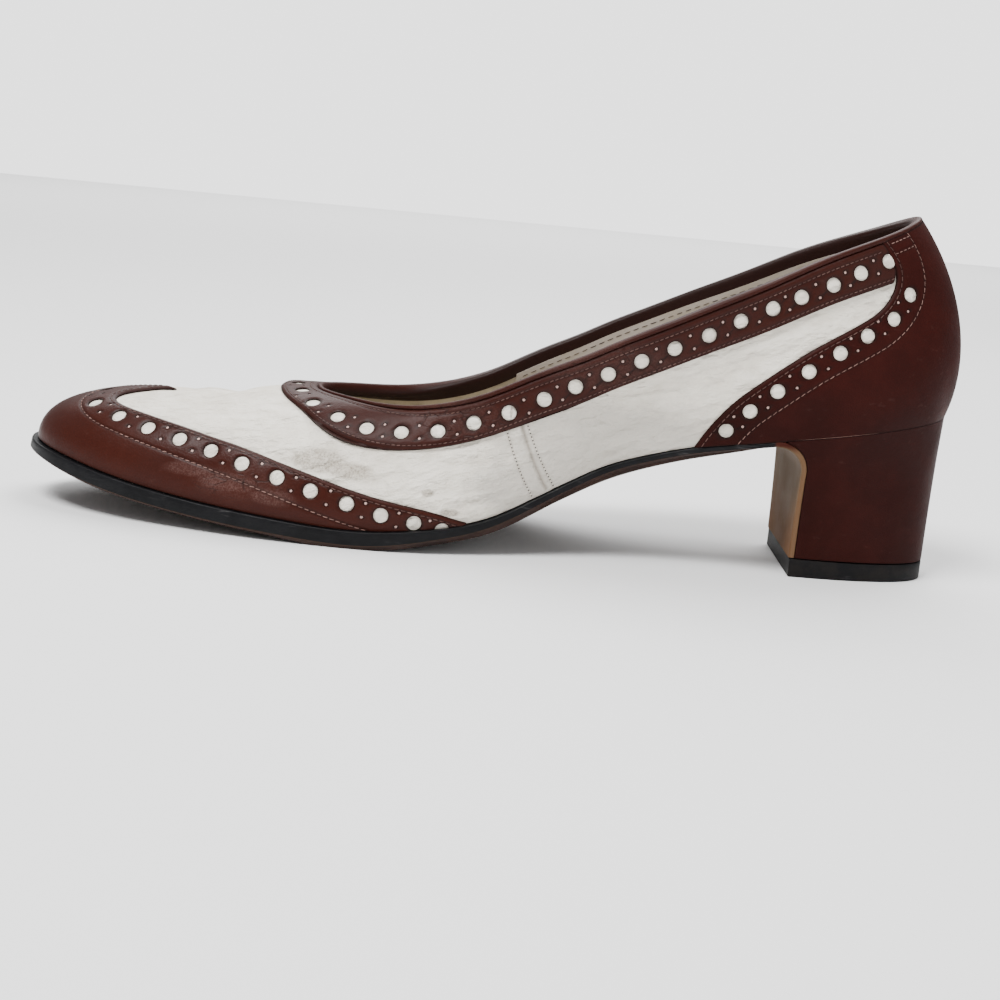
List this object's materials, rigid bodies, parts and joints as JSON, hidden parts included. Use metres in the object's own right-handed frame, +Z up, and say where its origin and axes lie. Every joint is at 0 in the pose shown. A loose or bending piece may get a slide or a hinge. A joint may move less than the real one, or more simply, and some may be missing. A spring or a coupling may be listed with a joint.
{
  "type": "spectator shoe",
  "caption": "Two-tone wing-tip spectator pump with a rounded toe, punched overlays, a collar band, a heel counter and a leather-covered block heel; empty, standing on its sole.",
  "frame": {"origin": "middle of the shoe's length and width on the floor", "axes": "+X from toe to heel, -Y the inner (medial) side, +Z up"},
  "size_m": [0.2446, 0.0784, 0.095],
  "materials": {
    "white_leather": "smooth, worn, semi-gloss",
    "brown_leather": "polished, finely creased",
    "sole_leather": "dark stained edge and underside",
    "sock_lining": "matt lining leather",
    "lift_rubber": "matt"
  },
  "bodies": {
    "root": {"upper": "white_leather", "wing_tip": "brown_leather", "collar_band": "brown_leather", "counter": "brown_leather", "outsole": "sole_leather", "insole": "sock_lining", "heel": "brown_leather", "top_lift": "lift_rubber"}
  },
  "joints": []
}
